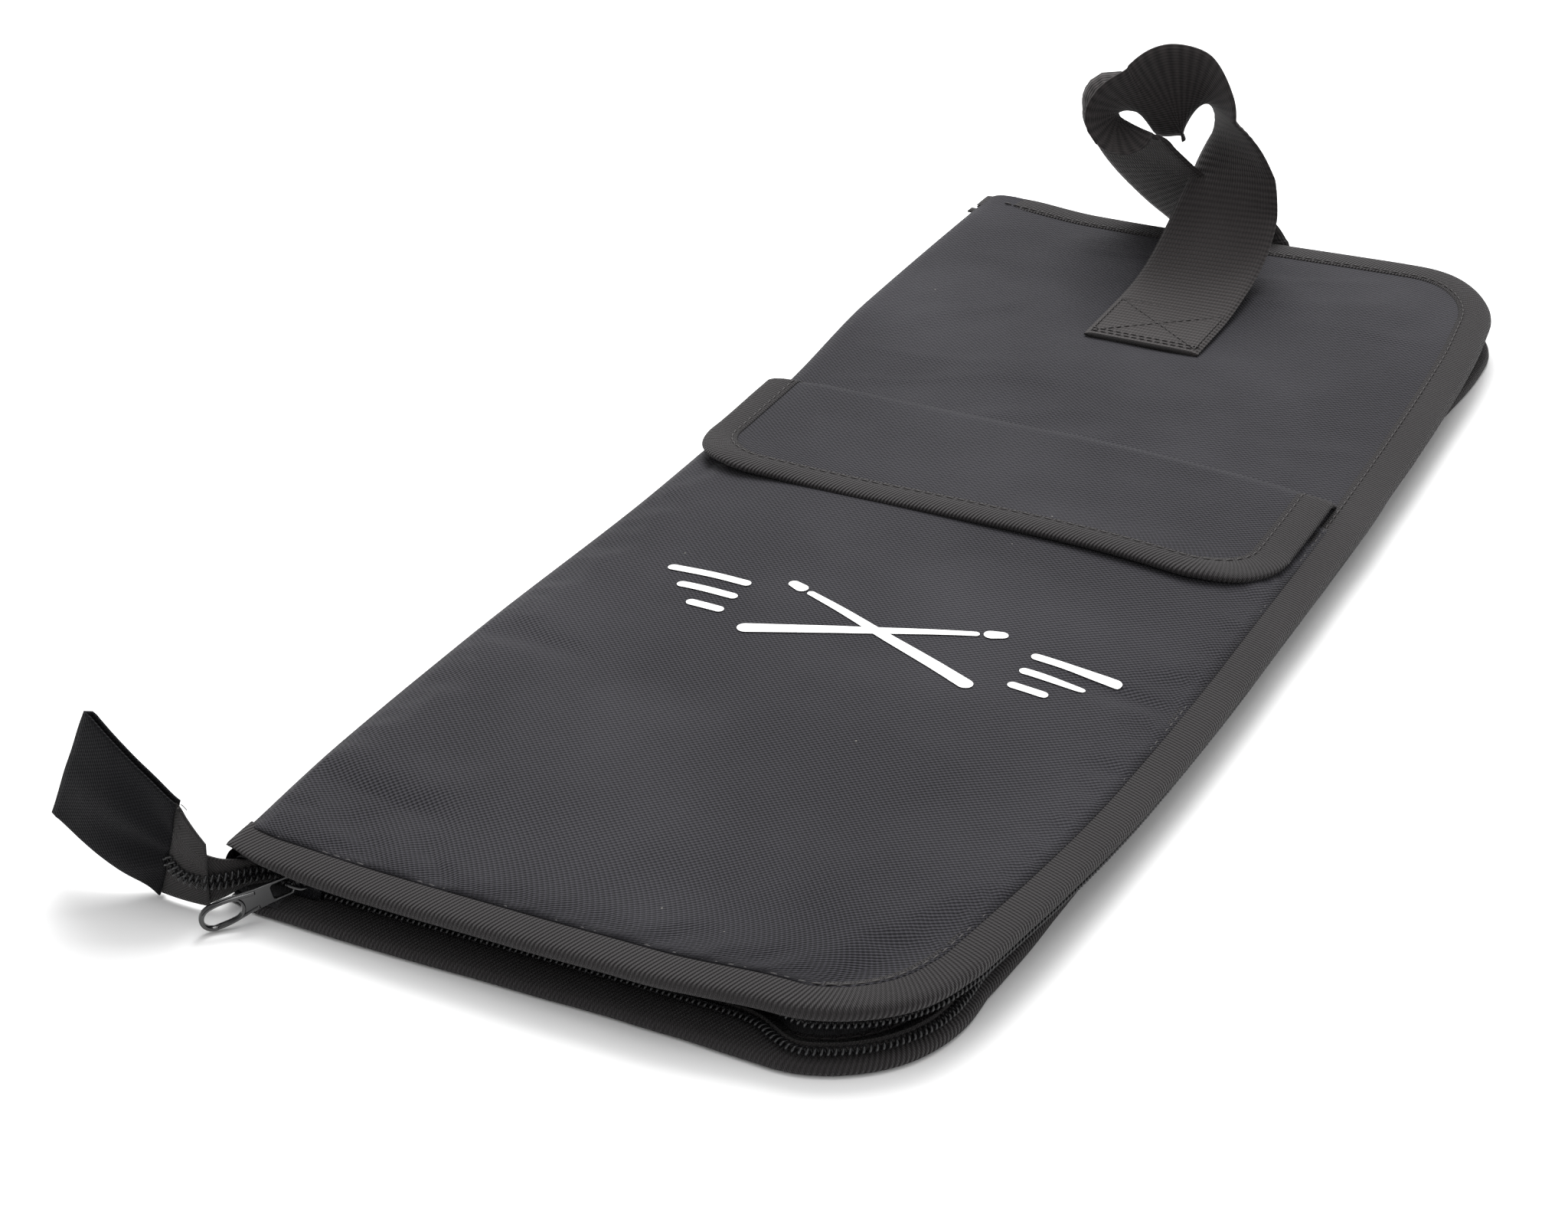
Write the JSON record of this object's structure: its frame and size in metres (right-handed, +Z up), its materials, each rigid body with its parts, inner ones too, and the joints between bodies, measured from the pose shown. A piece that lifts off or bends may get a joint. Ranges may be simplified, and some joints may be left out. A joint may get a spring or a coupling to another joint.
{
  "type": "drum stick bag",
  "caption": "Flat padded fabric bag for drum sticks: two covers joined at a spine and zipped on three sides, with a flapped outside pocket, inner stick pocket and webbing carrying handle.",
  "frame": {"origin": "centre of the back cover's underside, the face that the bag lies on", "axes": "+X across the bag from the spine to the long zipper side, +Y along the bag towards the carrying handle, +Z up out of the front cover"},
  "size_m": [0.2345, 0.4939, 0.0909],
  "materials": {
    "canvas": "woven matt",
    "lining": "plain weave, slight sheen",
    "foam": "closed-cell foam",
    "binding_tape": "ribbed tape",
    "zip_tape": "woven tape",
    "zip_coil": "satin nylon",
    "webbing": "ribbed webbing",
    "fastener_tape": "hook and loop",
    "black_metal": "gloss paint"
  },
  "bodies": {
    "back_cover": {"back_shell": "canvas", "back_foam": "foam", "back_lining": "lining", "back_binding": "binding_tape", "back_zip_tape": "zip_tape", "back_zip_coil": "zip_coil", "zip_closed_end": "zip_tape", "stick_pocket": "lining", "stick_pocket_binding": "binding_tape", "handle_back_end": "webbing"},
    "front_cover": {"front_shell": "canvas", "front_foam": "foam", "front_lining": "lining", "front_binding": "binding_tape", "front_zip_tape": "zip_tape", "front_zip_coil": "zip_coil", "accessory_pocket": "canvas", "pocket_hem": "binding_tape", "pocket_loop_tape": "fastener_tape", "flap_seam_strip": "canvas", "handle_sewn_end": "webbing", "handle_rise": "webbing", "handle_crown": "webbing", "handle_turn": "webbing", "handle_fall": "webbing", "handle_drop": "webbing"},
    "pocket_flap": {"pocket_flap": "canvas", "flap_binding": "binding_tape", "flap_hook_tape": "fastener_tape"},
    "zip_slider": {"slider_body": "black_metal", "slider_bail": "black_metal"},
    "zip_pull": {"zip_pull": "black_metal"},
    "zip_tail": {"tail_tape": "zip_tape", "tail_coil": "zip_coil", "tail_tab": "canvas"}
  },
  "joints": [
    {"name": "cover_open", "type": "hinge", "parent": "back_cover", "child": "front_cover", "pos_m": [-0.095, 0, 0.0114], "axis": [0, -1, 0], "range_deg": [0, 180]},
    {"name": "flap_lift", "type": "hinge", "parent": "front_cover", "child": "pocket_flap", "pos_m": [0, 0.0605, 0.017], "axis": [-1, 0, 0], "range_deg": [0, 150]},
    {"name": "slider_run", "type": "slide", "parent": "back_cover", "child": "zip_slider", "axis": [1, 0, 0], "range_m": [0, 0.125]},
    {"name": "pull_swing", "type": "hinge", "parent": "zip_slider", "child": "zip_pull", "pos_m": [-0.0774, -0.2295, 0.0086], "axis": [-0.1494, -0.1749, 0.9732], "range_deg": [0, 95]},
    {"name": "tail_flop", "type": "hinge", "parent": "back_cover", "child": "zip_tail", "pos_m": [-0.0964, -0.2372, 0.009], "axis": [0, 0, 1], "range_deg": [0, 60]}
  ]
}
